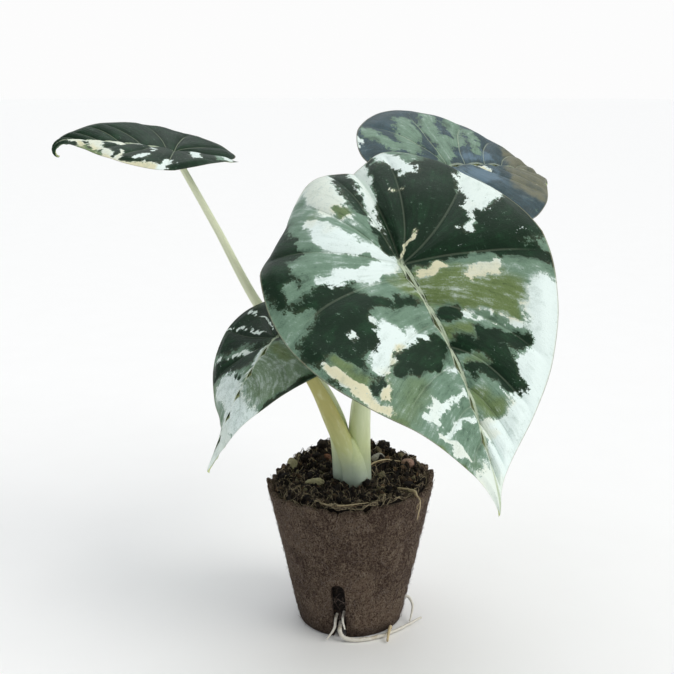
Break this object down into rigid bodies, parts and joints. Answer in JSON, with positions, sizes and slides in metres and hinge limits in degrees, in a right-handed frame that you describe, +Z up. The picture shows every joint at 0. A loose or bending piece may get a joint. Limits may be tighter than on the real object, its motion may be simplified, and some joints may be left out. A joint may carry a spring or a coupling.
{
  "type": "potted alocasia",
  "caption": "Young variegated alocasia with arrow-heart leaves on slender petioles, growing in a small tapered fibre pot.",
  "frame": {"origin": "centre of the flat underside of the pot", "axes": "+Z up, the plant's front, the side the large leaf faces, towards -Y, +X to the right seen from the front"},
  "size_m": [0.184, 0.179, 0.1816],
  "materials": {
    "fibre": "matt felted peat and coir fibre, mid brown, rough",
    "substrate": "loose dark potting mix, matt, crumbly",
    "corm": "matt, fibrous skin",
    "root": "satin, off-white with a few brown threads",
    "thread": "matt, dry brown",
    "petiole": "satin, pale yellow-green with whitish streaks",
    "leaf_front": "semi-gloss, dark green, grey-green and cream patches, pale veins",
    "leaf_low": "semi-gloss, dark and grey-green with cream along the midrib",
    "leaf_high": "semi-gloss, dark green, cream and yellowish lower margin",
    "leaf_back": "semi-gloss with a blue-grey sheen, dark green with grey-green patches",
    "stone": "matt mineral grit",
    "clay": "matt fired clay granule",
    "bark": "matt broken bark"
  },
  "bodies": {
    "root": {"petiole_front": "petiole", "blade_front": "leaf_front", "petiole_low": "petiole", "blade_low": "leaf_low", "petiole_high": "petiole", "blade_high": "leaf_high", "petiole_back": "petiole", "blade_back": "leaf_back", "root_inner_1": "root", "root_inner_2": "root", "root_inner_3": "root", "root_inner_4": "root", "root_slot_long": "root", "root_slot_short_a": "root", "root_slot_short_b": "root", "root_side": "root", "root_fragment": "root", "root_thread_right": "thread", "root_thread_front": "thread", "root_thread_back": "thread", "stone_grey": "stone", "stone_sand": "stone", "lump_clay": "clay", "chip_pale": "bark", "bark_front": "bark", "bark_back": "bark", "corm": "corm", "soil": "substrate", "pot": "fibre"}
  },
  "joints": []
}
